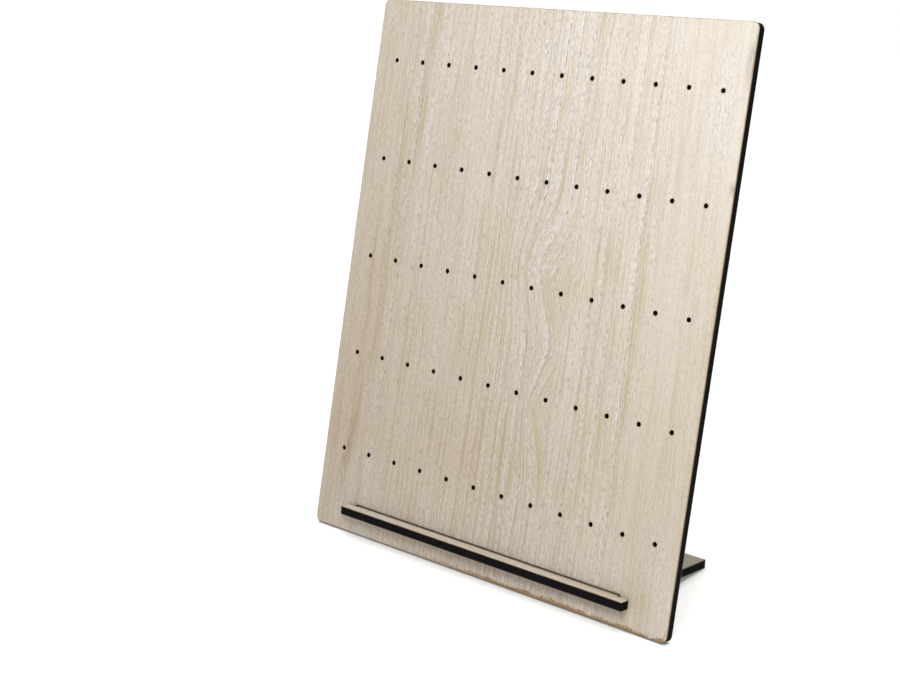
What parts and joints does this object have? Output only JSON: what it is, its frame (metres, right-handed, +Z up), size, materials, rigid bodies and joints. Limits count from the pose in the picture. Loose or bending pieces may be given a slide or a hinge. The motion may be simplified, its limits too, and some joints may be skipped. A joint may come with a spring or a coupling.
{
  "type": "earring display board",
  "caption": "Leaning rectangular wood display board with rows of small peg holes, and a T-shaped plate through its bottom slot that is ledge in front and foot behind.",
  "frame": {"origin": "on the surface that the part stands on, under the middle of its bounding box", "axes": "+X to the right across the board as its viewer sees it, -Y out of the front towards that viewer, +Z up; the board leans back, so its top is towards +Y, and the foot points to +Y"},
  "size_m": [0.2, 0.0726, 0.2425],
  "materials": {
    "board_veneer": "pale limed wood veneer, open grain up the board, matt",
    "board_core": "core with laser-charred cut edges, near black, matt",
    "ledge_foot_veneer": "pale limed wood veneer, smooth, matt",
    "ledge_foot_core": "core with laser-charred cut edges, near black, matt"
  },
  "bodies": {
    "board": {"board_core": "board_core", "board_front_veneer": "board_veneer", "board_back_veneer": "board_veneer"},
    "ledge_foot": {"ledge_foot_core": "ledge_foot_core", "ledge_foot_top_veneer": "ledge_foot_veneer", "ledge_foot_bottom_veneer": "ledge_foot_veneer"}
  },
  "joints": [
    {"name": "ledge_foot_slide", "type": "slide", "parent": "board", "child": "ledge_foot", "axis": [0, -0.9901, 0.1403], "range_m": [0, 0.068]}
  ]
}
